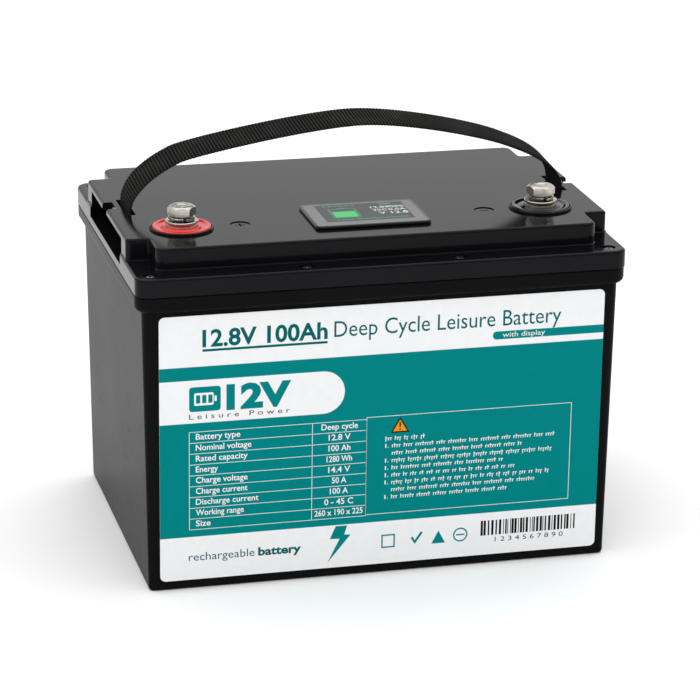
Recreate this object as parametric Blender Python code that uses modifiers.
# Deep cycle battery: a moulded case with a screwed cover, four prismatic cells with their links
# and management board, two bolted terminals, a flush display and a webbing carrying strap.
# Metres, +Z up. The origin is the middle of the base and the labelled side faces -Y.

import math

import bmesh
import bpy
from mathutils import Matrix, Vector
from mathutils.geometry import interpolate_bezier

MM = 0.001
GAP = 0.3 * MM                     # clearance between separate pieces that rest on each other
SHARP_ANGLE = math.radians(35)

# Case and cover
LENGTH = 260 * MM
WIDTH = 190 * MM
BODY_BASE = (248.4 * MM, 178.2 * MM)      # outside of the drafted walls at the floor
BODY_TOP = (252.8 * MM, 183.2 * MM)       # and where they meet the rim
RIM_BOTTOM = 153.1 * MM
SEAM = 161.6 * MM
FLANGE_TOP = 171.5 * MM
DECK_TOP = 183 * MM
WALL = 2.5 * MM
DECK_THICKNESS = 3 * MM
CORNER_RADIUS = 7.4 * MM
BODY_CORNER_RADIUS = 5.8 * MM
PLATEAU = (234 * MM, 160.4 * MM)
END_BLOCKS = (258.2 * MM, 119.2 * MM)
COVER_HOLLOW = (222 * MM, 154 * MM)
EDGE_ROUNDING = 1.6 * MM
RIM_ROUNDING = 3 * MM

# End windows, their pockets and the strap slots above them
POCKET_INNER_X = 114 * MM
POCKET_HALF_Y = 46 * MM
POCKET_FLOOR = 166 * MM
SLOT_CENTRE_X = 118.5 * MM
SLOT_SIZE = (5.4 * MM, 31 * MM)
RAIL_NOTCH = (5.2 * MM, 13 * MM)           # depth, width
RAIL_NOTCH_Y = 5 * MM

# Lid screws: four along each long side
SCREW_X = (-121.5 * MM, -40.5 * MM, 40.5 * MM, 121.5 * MM)
SCREW_Y = 86.8 * MM
SCREW_HEAD = (3 * MM, 2.2 * MM)           # radius, height
SCREW_SHANK = (1.5 * MM, 20 * MM)
SCREW_SEAT = FLANGE_TOP - 2.8 * MM
BOSS_RADIUS = 3.4 * MM

# Gasket between case and cover
GASKET_OUTER = (256.6 * MM, 186.6 * MM)
GASKET_WIDTH = 1.8 * MM
GASKET_HEIGHT = 1.9 * MM

# Terminals, one on each side of the middle
TERMINAL_X = 97 * MM
TERMINAL_Y = -44 * MM
RING_RADIUS = 15.4 * MM
SOCKET_RIM = (15.7 * MM, 16.8 * MM, 1.2 * MM)      # inner radius, outer radius, height
COLLAR_RADIUS = 11.5 * MM
INSERT_RADIUS = 8.3 * MM
INSERT_FLANGE_RADIUS = 13.6 * MM
INSERT_TOP = DECK_TOP + 2.8 * MM
RING_TOP = DECK_TOP + 1.6 * MM
BORE_RADIUS = 4.5 * MM
BOLT_RADIUS = 4 * MM
BOLT_ACROSS_FLATS = 13 * MM
BOLT_HEAD_HEIGHT = 5.3 * MM
BOLT_LENGTH = 16 * MM
FLAT_WASHER = (4.4 * MM, 8.75 * MM, 1.5 * MM)      # inner radius, outer radius, thickness
SPRING_WASHER = (4.4 * MM, 7 * MM, 1.8 * MM)

# Display
DISPLAY_CENTRE = (1.2 * MM, -42 * MM)
BEZEL_SIZE = (62 * MM, 43 * MM)
TRAY_SIZE = (52 * MM, 36 * MM)
SCREEN_SIZE = (47 * MM, 31 * MM)
BEZEL_HEIGHT = 1.8 * MM
TRAY_BOTTOM = DECK_TOP - 8 * MM
MARK_X = 66 * MM
MARK_Y = -43.5 * MM
MARK_RADIUS = 5.4 * MM

# Webbing strap: Bezier knots of its middle line in X and Z, as (handle, knot, handle)
STRAP_WIDTH = 28 * MM
STRAP_THICKNESS = 1.8 * MM
STRAP_KNOTS = [
    ((-118.5, 177), (-118.5, 183.5), (-118.5, 196)),
    ((-104, 206), (-92, 211.3), (-84, 214.6)),
    ((-20, 226.8), (6, 226.8), (30, 226.8)),
    ((72, 217.3), (88, 210.6), (98, 206.4)),
    ((117.5, 199), (118.5, 183.5), (118.5, 177)),
]
STRAP_AXIS_Z = 184 * MM
STRAP_TURN_RADIUS = 17 * MM
STRAP_END_BOTTOM = 172.6 * MM
STRAP_LEAN = math.radians(4)               # the loop lies a little towards the label side
ANCHOR_SIZE = (6.4 * MM, 34 * MM)

# Label on the long front wall
LABEL_WIDTH = 237 * MM
LABEL_Z = (5 * MM, 151 * MM)
LABEL_THICKNESS = 0.3 * MM

# Cells and what is round them
CELL = (50 * MM, 160 * MM, 117 * MM)
CELL_FLOOR = 6.3 * MM
CELL_PITCH = 51.6 * MM
CELL_STUD_Y = 47 * MM
CELL_STUD = (6 * MM, 3 * MM)
BOARD_SIZE = (120 * MM, 70 * MM)
BOARD_Z = 138 * MM
BOARD_THICKNESS = 1.6 * MM
BOARD_CENTRE_Y = -12 * MM
HEATSINK_Y = (-28 * MM, 18 * MM)
HEATSINK_HEIGHT = 8 * MM
SPACER_THICKNESS = 1 * MM
LINK_OVERLAP = 9 * MM
LINK_THICKNESS = 2 * MM
END_PLATE_THICKNESS = 3 * MM
BAND_THICKNESS = 0.8 * MM
BAND_HEIGHT = 12 * MM
BAND_BOTTOMS = (("lower", 34 * MM), ("upper", 90 * MM))
FOAM_BASE = (108 * MM, 80 * MM)            # half sizes
FOAM_BASE_Z = 3 * MM
FOAM_SIDE_X = (108.5 * MM, 120.5 * MM)
FOAM_SIDE_Y = 70 * MM
FOAM_SIDE_Z = (10 * MM, 110 * MM)
FOAM_TOP_X = 55 * MM
FOAM_TOP_Y = (-36 * MM, 18 * MM)
LEAD_RADIUS = 3.5 * MM
LEAD_TOP = 165.5                           # routes of leads are in millimetres


def make_material(name, colour, roughness, metallic=0.0):
    material = bpy.data.materials.new(name)
    material.use_nodes = True
    shader = material.node_tree.nodes["Principled BSDF"]
    shader.inputs["Base Color"].default_value = (*colour, 1.0)
    shader.inputs["Roughness"].default_value = roughness
    shader.inputs["Metallic"].default_value = metallic
    material.diffuse_color = (*colour, 1.0)
    return material


def make_collections():
    parts = bpy.data.collections.new("deep_cycle_battery")
    cutters = bpy.data.collections.new("cutters")
    for collection in (parts, cutters):
        bpy.context.scene.collection.children.link(collection)
    return parts, cutters


def add_object(name, mesh, material=None, location=(0, 0, 0)):
    # A piece has a material; without one the object is a cutter.
    piece = bpy.data.objects.new(name, mesh)
    piece.location = location
    if material:
        mesh.materials.clear()
        mesh.materials.append(material)
        PARTS.objects.link(piece)
    else:
        CUTTERS.objects.link(piece)
        piece.hide_render = True
        piece.display_type = "WIRE"
    return piece


def finish_mesh(name, shape):
    mesh = bpy.data.meshes.new(name)
    shape.to_mesh(mesh)
    shape.free()
    mesh.shade_smooth()
    mesh.set_sharp_from_angle(angle=SHARP_ANGLE)
    return mesh


def block(name, low, high, material=None):
    # A plain box between two corners.
    size = [b - a for a, b in zip(low, high)]
    centre = [(a + b) / 2 for a, b in zip(low, high)]
    shape = bmesh.new()
    bmesh.ops.create_cube(shape, size=1)
    bmesh.ops.scale(shape, vec=size, verts=shape.verts)
    return add_object(name, finish_mesh(name, shape), material, centre)


def rounded_block(name, size, low_z, high_z, radius, material=None, segments=4,
                  top_rounding=0, bottom_rounding=0, base_size=None, centre=(0, 0)):
    # A box with rounded upright corners, optional rounding round its top or bottom outline,
    # and optional draft from base_size at its bottom to size at its top.
    shape = bmesh.new()
    bmesh.ops.create_cube(shape, size=1)
    bmesh.ops.scale(shape, vec=(size[0], size[1], high_z - low_z), verts=shape.verts)
    half = (high_z - low_z) / 2
    upright = [e for e in shape.edges if abs(e.verts[0].co.z - e.verts[1].co.z) > half]
    bmesh.ops.bevel(shape, geom=upright, offset=radius, segments=segments, profile=0.5,
                    affect="EDGES", material=-1)
    for level, rounding in ((half, top_rounding), (-half, bottom_rounding)):
        if rounding:
            outline = [e for e in shape.edges
                       if all(abs(v.co.z - level) < 1e-6 for v in e.verts)]
            bmesh.ops.bevel(shape, geom=outline, offset=rounding, segments=3, profile=0.5,
                            affect="EDGES", material=-1)
    if base_size:
        for vertex in shape.verts:
            share = (half - vertex.co.z) / (2 * half)
            vertex.co.x *= 1 + share * (base_size[0] / size[0] - 1)
            vertex.co.y *= 1 + share * (base_size[1] / size[1] - 1)
    location = (centre[0], centre[1], (low_z + high_z) / 2)
    return add_object(name, finish_mesh(name, shape), material, location)


def cylinders(name, radius, low_z, high_z, places, material=None, segments=24):
    # Upright cylinders of one size at each (x, y) place, in one mesh.
    shape = bmesh.new()
    for x, y in places:
        place = Matrix.Translation((x, y, (low_z + high_z) / 2))
        bmesh.ops.create_cone(shape, cap_ends=True, segments=segments, radius1=radius,
                              radius2=radius, depth=high_z - low_z, matrix=place)
    return add_object(name, finish_mesh(name, shape), material)


def turned(name, profile, location, material, steps=32):
    # A closed (radius, z) outline turned round the upright axis through location.
    mesh = bpy.data.meshes.new(name)
    edges = [(i, (i + 1) % len(profile)) for i in range(len(profile))]
    mesh.from_pydata([(radius, 0, z) for radius, z in profile], edges, [])
    piece = add_object(name, mesh, material, location)
    screw = piece.modifiers.new("turn", "SCREW")
    screw.steps = steps
    screw.render_steps = steps
    screw.use_merge_vertices = True
    screw.merge_threshold = 0.00001
    return piece


def boolean(piece, other, operation="DIFFERENCE"):
    modifier = piece.modifiers.new(other.name, "BOOLEAN")
    modifier.operation = operation
    modifier.object = other
    modifier.solver = "EXACT"


def draft_half_y(height):
    # Half the case's outside width at a height above its floor.
    share = height / RIM_BOTTOM
    return (BODY_BASE[1] + share * (BODY_TOP[1] - BODY_BASE[1])) / 2


def make_case():
    material = make_material("case_plastic", (0.012, 0.012, 0.013), 0.3)
    case = rounded_block("case", BODY_TOP, 0, RIM_BOTTOM, BODY_CORNER_RADIUS, material,
                         bottom_rounding=2 * MM, base_size=BODY_BASE)
    rim = rounded_block("case_rim", (LENGTH, WIDTH), RIM_BOTTOM - 1 * MM, SEAM - GAP,
                        CORNER_RADIUS, bottom_rounding=RIM_ROUNDING)
    boolean(case, rim, "UNION")
    inside_top = [size - 2 * WALL for size in BODY_TOP]
    inside_base = [size - 2 * WALL for size in BODY_BASE]
    cavity = rounded_block("case_cavity", inside_top, 3 * MM, SEAM + 1 * MM,
                           BODY_CORNER_RADIUS - WALL, base_size=inside_base)
    boolean(case, cavity)
    places = [(x, side * SCREW_Y) for x in SCREW_X for side in (-1, 1)]
    bosses = cylinders("screw_bosses", BOSS_RADIUS, SEAM - 26 * MM, SEAM - GAP - 0.2 * MM,
                       places, segments=16)
    boolean(case, bosses, "UNION")
    pilot_depth = SCREW_SHANK[1] + 1 * MM
    pilots = cylinders("screw_pilots", SCREW_SHANK[0] + GAP, SCREW_SEAT - pilot_depth,
                       SEAM + 1 * MM, places, segments=12)
    boolean(case, pilots)
    groove = ring_frame("gasket_groove", [size + 2 * GAP for size in GASKET_OUTER],
                        GASKET_WIDTH + 2 * GAP, SEAM - 2 * GAP - GASKET_HEIGHT, SEAM + 1 * MM,
                        CORNER_RADIUS)
    boolean(case, groove)


def ring_frame(name, size, width, low_z, high_z, radius, material=None):
    # A rectangular ring with rounded corners: a block less a smaller block.
    frame = rounded_block(name, size, low_z, high_z, radius, material)
    inner_size = [side - 2 * width for side in size]
    inner = rounded_block(name + "_inside", inner_size, low_z - 5 * MM, high_z + 5 * MM,
                          max(radius - width, 1 * MM))
    boolean(frame, inner)
    return frame


def make_gasket():
    material = make_material("gasket_rubber", (0.02, 0.02, 0.02), 0.8)
    ring_frame("lid_gasket", GASKET_OUTER, GASKET_WIDTH, SEAM - GAP - GASKET_HEIGHT,
               SEAM - GAP, CORNER_RADIUS - GAP, material)


def make_cover():
    material = make_material("cover_plastic", (0.014, 0.014, 0.015), 0.12)
    cover = rounded_block("cover", (LENGTH, WIDTH), SEAM, FLANGE_TOP, CORNER_RADIUS, material,
                          top_rounding=EDGE_ROUNDING)
    base = FLANGE_TOP - 2 * MM
    for name, size, radius in (("plateau", PLATEAU, 4 * MM), ("end_blocks", END_BLOCKS, 2 * MM)):
        raised = rounded_block(name, size, base, DECK_TOP, radius, top_rounding=EDGE_ROUNDING)
        boolean(cover, raised, "UNION")
    hollow = rounded_block("cover_hollow", COVER_HOLLOW, SEAM - 2 * MM,
                           DECK_TOP - DECK_THICKNESS, 4 * MM, segments=2)
    boolean(cover, hollow)
    deck_bottom = DECK_TOP - DECK_THICKNESS
    through = DECK_TOP + 1 * MM
    for side, hand in ((-1, "left"), (1, "right")):
        cuts = (
            ("pocket", POCKET_INNER_X, LENGTH / 2 + 1 * MM, 0, POCKET_HALF_Y, POCKET_FLOOR,
             deck_bottom),
            ("slot", SLOT_CENTRE_X - SLOT_SIZE[0] / 2, SLOT_CENTRE_X + SLOT_SIZE[0] / 2, 0,
             SLOT_SIZE[1] / 2, deck_bottom - 1 * MM, through),
            ("rail_notch", END_BLOCKS[0] / 2 - RAIL_NOTCH[0], LENGTH / 2 + 1 * MM, RAIL_NOTCH_Y,
             RAIL_NOTCH[1] / 2, deck_bottom - 1 * MM, through),
        )
        for name, near, far, centre_y, half_y, low_z, high_z in cuts:
            near_x, far_x = sorted((side * near, side * far))
            cutter = block(hand + "_" + name, (near_x, centre_y - half_y, low_z),
                           (far_x, centre_y + half_y, high_z))
            boolean(cover, cutter)
    places = [(x, side * SCREW_Y) for x in SCREW_X for side in (-1, 1)]
    boolean(cover, cylinders("screw_counterbores", SCREW_HEAD[0] + 2 * GAP, SCREW_SEAT, through,
                             places, segments=16))
    boolean(cover, cylinders("screw_holes", SCREW_SHANK[0] + GAP, SEAM - 1 * MM,
                             SCREW_SEAT + 1 * MM, places, segments=12))
    terminals = [(-TERMINAL_X, TERMINAL_Y), (TERMINAL_X, TERMINAL_Y)]
    rim_inner, rim_outer, rim_height = SOCKET_RIM
    boolean(cover, cylinders("socket_rims", rim_outer, DECK_TOP - 1 * MM, DECK_TOP + rim_height,
                             terminals, segments=40), "UNION")
    boolean(cover, cylinders("socket_floors", rim_inner, DECK_TOP, through + rim_height,
                             terminals, segments=40))
    boolean(cover, cylinders("terminal_holes", COLLAR_RADIUS + GAP, deck_bottom - 1 * MM,
                             through, terminals, segments=32))
    opening = [size + 2 * GAP for size in TRAY_SIZE]
    boolean(cover, rounded_block("display_opening", opening, deck_bottom - 1 * MM, through,
                                 1.5 * MM, segments=2, centre=DISPLAY_CENTRE))
    cut_polarity_marks(cover)


def cut_polarity_marks(cover):
    # A shallow circle with a plus on the left and a minus on the right.
    floor = DECK_TOP - 0.4 * MM
    top = DECK_TOP + 1 * MM
    line = 0.45 * MM
    arm = 2.8 * MM
    for x, hand in ((-MARK_X, "plus"), (MARK_X, "minus")):
        circle = cylinders(hand + "_circle", MARK_RADIUS, floor, top, [(x, MARK_Y)])
        core = cylinders(hand + "_core", MARK_RADIUS - 2 * line, floor - 1 * MM, top + 1 * MM,
                         [(x, MARK_Y)])
        boolean(circle, core)
        boolean(cover, circle)
        boolean(cover, block(hand + "_bar", (x - arm, MARK_Y - line, floor),
                             (x + arm, MARK_Y + line, top)))
    boolean(cover, block("plus_stem", (-MARK_X - line, MARK_Y - arm, floor - 0.05 * MM),
                         (-MARK_X + line, MARK_Y + arm, top)))


def make_lid_screws():
    material = make_material("screw_steel", (0.05, 0.05, 0.055), 0.4, 1.0)
    radius, height = SCREW_HEAD
    shank_radius, shank_length = SCREW_SHANK
    profile = [(0, height), (radius - 0.5 * MM, height), (radius, height - 0.6 * MM), (radius, GAP),
               (shank_radius, GAP), (shank_radius, -shank_length + 1.5 * MM), (0, -shank_length)]
    places = [(x, side * SCREW_Y) for side in (-1, 1) for x in SCREW_X]
    for number, (x, y) in enumerate(places, 1):
        turned("lid_screw_%d" % number, profile, (x, y, SCREW_SEAT), material, steps=12)


def make_label():
    material = make_material("label_film", (0.02, 0.30, 0.29), 0.35)
    shape = bmesh.new()
    bmesh.ops.create_cube(shape, size=1)
    bmesh.ops.scale(shape, vec=(LABEL_WIDTH, 1, 1), verts=shape.verts)
    for vertex in shape.verts:
        height = LABEL_Z[1] if vertex.co.z > 0 else LABEL_Z[0]
        back = -draft_half_y(height) - GAP
        vertex.co.y = back if vertex.co.y > 0 else back - LABEL_THICKNESS
        vertex.co.z = height
    add_object("front_label", finish_mesh("front_label", shape), material)


def make_display():
    black = make_material("display_plastic", (0.015, 0.015, 0.016), 0.25)
    glass = make_material("display_window", (0.10, 0.11, 0.11), 0.1)
    screen = make_material("display_panel", (0.03, 0.05, 0.05), 0.2)
    board = make_material("board_green", (0.02, 0.12, 0.05), 0.5)
    ribbon = make_material("ribbon_cable", (0.5, 0.5, 0.5), 0.5)
    centre = DISPLAY_CENTRE
    top = DECK_TOP + BEZEL_HEIGHT
    bezel = rounded_block("display_bezel", BEZEL_SIZE, DECK_TOP + GAP, top, 3 * MM, black,
                          top_rounding=0.6 * MM, centre=centre)
    tray = rounded_block("bezel_tray", TRAY_SIZE, TRAY_BOTTOM, DECK_TOP + 1 * MM, 1.5 * MM,
                         segments=2, centre=centre)
    boolean(bezel, tray, "UNION")
    inside = [size + 2 * GAP for size in SCREEN_SIZE]
    boolean(bezel, rounded_block("bezel_inside", inside, TRAY_BOTTOM + 1.5 * MM, top + 1 * MM,
                                 0.8 * MM, segments=2, centre=centre))
    window_size = [size - 3 * MM for size in BEZEL_SIZE]
    recess_size = [size + 2 * GAP for size in window_size]
    boolean(bezel, rounded_block("window_recess", recess_size, top - 1 * MM, top + 1 * MM,
                                 2 * MM, segments=3, centre=centre))
    cable_half = 6 * MM
    slot = (cable_half + GAP, 1 * MM)
    boolean(bezel, block("bezel_cable_slot",
                         (centre[0] - slot[0], centre[1] - slot[1], TRAY_BOTTOM - 1 * MM),
                         (centre[0] + slot[0], centre[1] + slot[1], TRAY_BOTTOM + 2 * MM)))
    rounded_block("display_lens", window_size, top - 1 * MM + GAP, top, 2 * MM - GAP, glass,
                  segments=3, centre=centre)
    panel_top = top - 1 * MM
    rounded_block("display_screen", SCREEN_SIZE, panel_top - 2.4 * MM, panel_top, 0.5 * MM,
                  screen, segments=1, centre=centre)
    board_top = panel_top - 2.4 * MM - GAP
    rounded_block("display_board", SCREEN_SIZE, board_top - BOARD_THICKNESS, board_top, 0.5 * MM,
                  board, segments=1, centre=centre)
    cable_thickness = 0.6 * MM
    block("display_cable",
          (centre[0] - cable_half, centre[1] - cable_thickness / 2, BOARD_Z + 2 * MM),
          (centre[0] + cable_half, centre[1] + cable_thickness / 2,
           board_top - BOARD_THICKNESS - GAP),
          ribbon)


def make_terminal(name, side, colour):
    # One terminal: the plastic ring with its collar, seal, threaded insert, washers and bolt.
    place = (side * TERMINAL_X, TERMINAL_Y, 0)
    plastic = make_material(name + "_ring_plastic", colour, 0.25)
    rubber = make_material(name + "_seal_rubber", (0.03, 0.03, 0.03), 0.8)
    brass = make_material(name + "_insert_metal", (0.75, 0.72, 0.66), 0.3, 1.0)
    steel = make_material(name + "_bolt_steel", (0.72, 0.71, 0.69), 0.25, 1.0)
    collar_bottom = DECK_TOP - 4.8 * MM
    turned("terminal_ring_" + name, [
        (INSERT_RADIUS + GAP, RING_TOP),
        (RING_RADIUS - 0.8 * MM, RING_TOP),
        (RING_RADIUS, RING_TOP - 0.8 * MM),
        (RING_RADIUS, DECK_TOP + GAP),
        (COLLAR_RADIUS, DECK_TOP + GAP),
        (COLLAR_RADIUS, collar_bottom),
        (INSERT_RADIUS + GAP, collar_bottom),
    ], place, plastic, steps=40)
    seal_top = DECK_TOP - DECK_THICKNESS - GAP
    seal_bottom = seal_top - 1.7 * MM
    seal_inner = COLLAR_RADIUS + GAP
    turned("terminal_seal_" + name, [
        (seal_inner, seal_top),
        (INSERT_FLANGE_RADIUS, seal_top),
        (INSERT_FLANGE_RADIUS, seal_bottom),
        (seal_inner, seal_bottom),
    ], place, rubber)
    flange_top = seal_bottom - GAP
    insert_bottom = DECK_TOP - 15 * MM
    turned("terminal_insert_" + name, [
        (BORE_RADIUS, INSERT_TOP),
        (INSERT_RADIUS, INSERT_TOP),
        (INSERT_RADIUS, flange_top),
        (INSERT_FLANGE_RADIUS, flange_top),
        (INSERT_FLANGE_RADIUS, flange_top - 2.5 * MM),
        (INSERT_RADIUS, flange_top - 2.5 * MM),
        (INSERT_RADIUS, insert_bottom),
        (0, insert_bottom),
        (0, insert_bottom + 2 * MM),
        (BORE_RADIUS, insert_bottom + 2 * MM),
    ], place, brass, steps=24)
    inner, outer, thickness = FLAT_WASHER
    washer_bottom = INSERT_TOP + GAP
    washer_top = washer_bottom + thickness
    turned("flat_washer_" + name, [
        (inner, washer_top), (outer, washer_top), (outer, washer_bottom), (inner, washer_bottom),
    ], place, steel, steps=24)
    inner, outer, thickness = SPRING_WASHER
    spring_bottom = washer_top + GAP
    spring_top = spring_bottom + thickness
    spring = turned("spring_washer_" + name, [
        (inner, spring_top), (outer, spring_top), (outer, spring_bottom), (inner, spring_bottom),
    ], place, steel, steps=24)
    split = block(name + "_washer_split",
                  (place[0] - 0.6 * MM, TERMINAL_Y - outer - 1 * MM, spring_bottom - 1 * MM),
                  (place[0] + 0.6 * MM, TERMINAL_Y - inner + 1 * MM, spring_top + 1 * MM))
    boolean(spring, split)
    make_bolt("terminal_bolt_" + name, place, spring_top + GAP, steel)


def make_bolt(name, place, seat, material):
    # A hexagon head with its top edges turned off, joined to a plain shank.
    corner_radius = BOLT_ACROSS_FLATS / math.sqrt(3)
    shape = bmesh.new()
    bmesh.ops.create_cone(shape, cap_ends=True, segments=6, radius1=corner_radius,
                          radius2=corner_radius, depth=BOLT_HEAD_HEIGHT,
                          matrix=Matrix.Translation((0, 0, BOLT_HEAD_HEIGHT / 2)))
    head = add_object(name, finish_mesh(name, shape), material, (place[0], place[1], seat))
    shank = cylinders(name + "_shank", BOLT_RADIUS, seat - BOLT_LENGTH, seat + 1 * MM,
                      [(place[0], place[1])], segments=16)
    boolean(head, shank, "UNION")


def strap_line(low_z):
    # The webbing's middle line, from low_z under the left slot, over the arch and down again.
    knots = [[Vector((x * MM, 0, z * MM)) for x, z in knot] for knot in STRAP_KNOTS]
    points = []
    for start, end in zip(knots, knots[1:]):
        count = 9 if start is knots[0] or end is knots[-1] else 8
        stretch = interpolate_bezier(start[1], start[2], end[0], end[1], count)
        points.extend(stretch if not points else stretch[1:])
    foot = [Vector((point.x, 0, low_z)) for point in (points[0], points[-1])]
    return [foot[0], *points, foot[1]] if low_z < points[0].z else points


def webbing(name, points, material, lean=0.0):
    # A flat band along the points: an open surface across the strap's width, then Solidify.
    shape = bmesh.new()
    edge = [shape.verts.new((p.x, -STRAP_WIDTH / 2, p.z)) for p in points]
    edges = [shape.edges.new(pair) for pair in zip(edge, edge[1:])]
    swept = bmesh.ops.extrude_edge_only(shape, edges=edges)
    moved = [item for item in swept["geom"] if isinstance(item, bmesh.types.BMVert)]
    bmesh.ops.translate(shape, vec=(0, STRAP_WIDTH, 0), verts=moved)
    bmesh.ops.rotate(shape, cent=(0, 0, STRAP_AXIS_Z), matrix=Matrix.Rotation(lean, 3, "X"),
                     verts=shape.verts)
    bmesh.ops.recalc_face_normals(shape, faces=shape.faces)
    band = add_object(name, finish_mesh(name, shape), material)
    wall = band.modifiers.new("thickness", "SOLIDIFY")
    wall.thickness = STRAP_THICKNESS
    wall.offset = 0
    wall.use_even_offset = True
    return band


def turning_disc(name, radius, foot_z=None):
    # A disc right across the battery on the strap's swing axis; foot_z drops its lower half
    # straight down, so that it also holds the webbing under the deck.
    shape = bmesh.new()
    lie_down = Matrix.Rotation(math.radians(90), 4, "Y")
    bmesh.ops.create_cone(shape, cap_ends=True, segments=48, radius1=radius, radius2=radius,
                          depth=LENGTH + 20 * MM, matrix=lie_down)
    if foot_z is not None:
        for vertex in shape.verts:
            if vertex.co.z < 0:
                vertex.co.z = foot_z - STRAP_AXIS_Z
    return add_object(name, finish_mesh(name, shape), location=(0, 0, STRAP_AXIS_Z))


def make_strap():
    material = make_material("webbing", (0.012, 0.012, 0.013), 0.85)
    steel = make_material("anchor_steel", (0.35, 0.35, 0.36), 0.4, 1.0)
    strap = webbing("strap", strap_line(DECK_TOP + 1 * MM), material, STRAP_LEAN)
    boolean(strap, turning_disc("strap_end_clearance", STRAP_TURN_RADIUS + GAP))
    line = strap_line(STRAP_END_BOTTOM)
    reach = STRAP_AXIS_Z + STRAP_TURN_RADIUS + 4 * MM
    keep = turning_disc("strap_end_outline", STRAP_TURN_RADIUS, STRAP_END_BOTTOM - 5 * MM)
    for side, hand in ((-1, "left"), (1, "right")):
        stretch = [p for p in line if p.x * side > 0 and p.z < reach]
        end = webbing("strap_end_" + hand, stretch, material)
        boolean(end, keep, "INTERSECT")
        x = side * SLOT_CENTRE_X
        half_x, half_y = ANCHOR_SIZE[0] / 2, ANCHOR_SIZE[1] / 2
        block("strap_anchor_" + hand, (x - half_x, -half_y, POCKET_FLOOR + GAP),
              (x + half_x, half_y, STRAP_END_BOTTOM - GAP), steel)
    swing = bpy.data.objects.new("strap_swing_axis", None)
    swing.location = (0, 0, STRAP_AXIS_Z)
    PARTS.objects.link(swing)
    strap.parent = swing
    strap.matrix_parent_inverse = Matrix.Translation((0, 0, -STRAP_AXIS_Z))


def make_cells():
    # Four cells in a row along the length, with a sheet between neighbours.
    can = make_material("cell_can", (0.6, 0.61, 0.62), 0.35, 1.0)
    sheet = make_material("spacer_sheet", (0.75, 0.68, 0.45), 0.6)
    plate = make_material("end_plate_metal", (0.55, 0.56, 0.57), 0.4, 1.0)
    steel = make_material("band_steel", (0.45, 0.45, 0.46), 0.4, 1.0)
    copper = make_material("link_copper", (0.7, 0.36, 0.22), 0.3, 1.0)
    top = CELL_FLOOR + CELL[2]
    centres = [(number - 1.5) * CELL_PITCH for number in range(4)]
    for number, x in enumerate(centres, 1):
        cell = block("cell_%d" % number, (x - CELL[0] / 2, -CELL[1] / 2, CELL_FLOOR),
                     (x + CELL[0] / 2, CELL[1] / 2, top), can)
        studs = cylinders("cell_%d_studs" % number, CELL_STUD[0], top - 1 * MM,
                          top + CELL_STUD[1], [(x, -CELL_STUD_Y), (x, CELL_STUD_Y)],
                          segments=12)
        boolean(cell, studs, "UNION")
    for number, (near, far) in enumerate(zip(centres, centres[1:]), 1):
        middle = (near + far) / 2
        half = SPACER_THICKNESS / 2
        block("cell_spacer_%d" % number, (middle - half, -CELL[1] / 2, CELL_FLOOR),
              (middle + half, CELL[1] / 2, top), sheet)
        y = CELL_STUD_Y if number % 2 else -CELL_STUD_Y
        bottom = top + CELL_STUD[1] + GAP
        block("cell_link_%d" % number, (near - LINK_OVERLAP, y - LINK_OVERLAP, bottom),
              (far + LINK_OVERLAP, y + LINK_OVERLAP, bottom + LINK_THICKNESS), copper)
    pack_half = centres[-1] + CELL[0] / 2 + GAP
    for side, hand in ((-1, "left"), (1, "right")):
        near, far = sorted((side * pack_half, side * (pack_half + END_PLATE_THICKNESS)))
        block("end_plate_" + hand, (near, -CELL[1] / 2, CELL_FLOOR), (far, CELL[1] / 2, top), plate)
    round_pack = GAP + BAND_THICKNESS
    band_size = (2 * (pack_half + END_PLATE_THICKNESS + round_pack), CELL[1] + 2 * round_pack)
    for name, height in BAND_BOTTOMS:
        ring_frame("pack_band_" + name, band_size, BAND_THICKNESS, height, height + BAND_HEIGHT,
                   BAND_THICKNESS / 2, steel)


def make_foam():
    material = make_material("foam", (0.08, 0.08, 0.085), 0.95)
    cell_top = CELL_FLOOR + CELL[2]
    half_x, half_y = FOAM_BASE
    block("foam_base", (-half_x, -half_y, FOAM_BASE_Z + GAP), (half_x, half_y, CELL_FLOOR - GAP),
          material)
    for side, hand in ((-1, "left"), (1, "right")):
        near, far = sorted(side * x for x in FOAM_SIDE_X)
        block("foam_side_" + hand, (near, -FOAM_SIDE_Y, FOAM_SIDE_Z[0]),
              (far, FOAM_SIDE_Y, FOAM_SIDE_Z[1]), material)
    block("foam_top", (-FOAM_TOP_X, FOAM_TOP_Y[0], cell_top + GAP),
          (FOAM_TOP_X, FOAM_TOP_Y[1], BOARD_Z - GAP), material)


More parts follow.
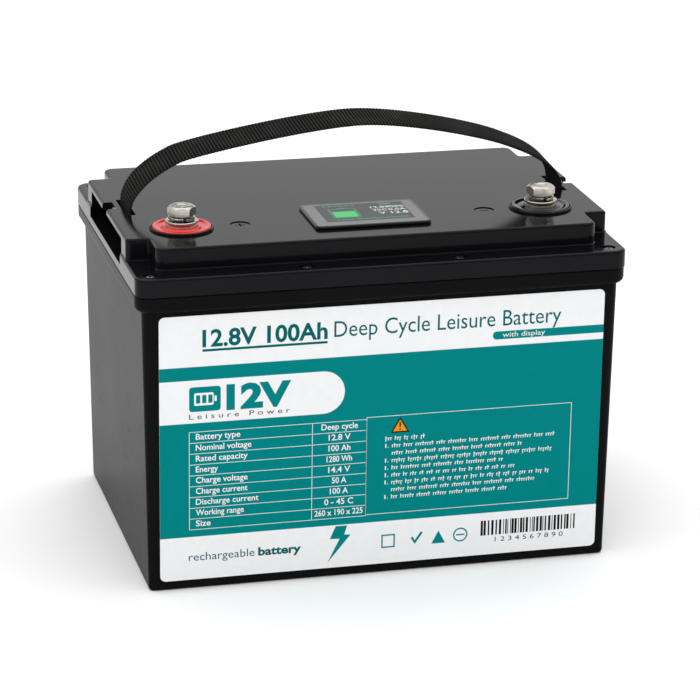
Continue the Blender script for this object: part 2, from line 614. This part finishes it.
def make_management_board():
    board = make_material("management_board_green", (0.02, 0.10, 0.05), 0.5)
    aluminium = make_material("heatsink_metal", (0.6, 0.6, 0.61), 0.35, 1.0)
    half_x, half_y = BOARD_SIZE[0] / 2, BOARD_SIZE[1] / 2
    top = BOARD_Z + BOARD_THICKNESS
    block("bms_board", (-half_x, BOARD_CENTRE_Y - half_y, BOARD_Z),
          (half_x, BOARD_CENTRE_Y + half_y, top), board)
    sink_half_x = half_x - 8 * MM
    block("bms_heatsink", (-sink_half_x, HEATSINK_Y[0], top + GAP),
          (sink_half_x, HEATSINK_Y[1], top + HEATSINK_HEIGHT), aluminium)


def lead(name, route, radius, material):
    # A round lead inside the case, through its own short list of points.
    curve = bpy.data.curves.new(name, "CURVE")
    curve.dimensions = "3D"
    curve.bevel_depth = radius
    curve.bevel_resolution = 2
    curve.use_fill_caps = True
    points = [Vector(point) * MM for point in route]
    smooth = []
    for start, end in zip(points, points[1:]):
        ahead = Vector((0, 0, (end.z - start.z) / 2))
        smooth.extend(interpolate_bezier(start, start + ahead, end - ahead, end, 7)[:-1])
    smooth.append(points[-1])
    spline = curve.splines.new("POLY")
    spline.points.add(len(smooth) - 1)
    for target, point in zip(spline.points, smooth):
        target.co = (*point, 1)
    curve.materials.append(material)
    tube = bpy.data.objects.new(name, curve)
    PARTS.objects.link(tube)


def make_leads():
    red = make_material("lead_red", (0.5, 0.02, 0.02), 0.5)
    black = make_material("lead_black", (0.02, 0.02, 0.02), 0.5)
    white = make_material("harness_white", (0.7, 0.7, 0.68), 0.6)
    terminal_y = TERMINAL_Y / MM
    lead("positive_lead", [(-77.4, -47, 130.5), (-97, terminal_y, LEAD_TOP)], LEAD_RADIUS, red)
    lead("negative_lead", [(77.4, -47, 130.5), (67, -24, 150.5)], LEAD_RADIUS, black)
    lead("negative_output_lead", [(64, -38, 142.5), (97, terminal_y, LEAD_TOP)], LEAD_RADIUS, black)
    lead("sense_harness", [(0, 27, 141), (40, 44, 131.5)], 2 * MM, white)
    lead("temperature_probe", [(-40, 27, 141), (-52, 60, 126)], 1.2 * MM, black)


for leftover in list(bpy.data.objects):
    bpy.data.objects.remove(leftover, do_unlink=True)

PARTS, CUTTERS = make_collections()
make_case()
make_gasket()
make_cover()
make_lid_screws()
make_label()
make_display()
make_terminal("positive", -1, (0.55, 0.02, 0.015))
make_terminal("negative", 1, (0.015, 0.015, 0.016))
make_strap()
make_cells()
make_foam()
make_management_board()
make_leads()
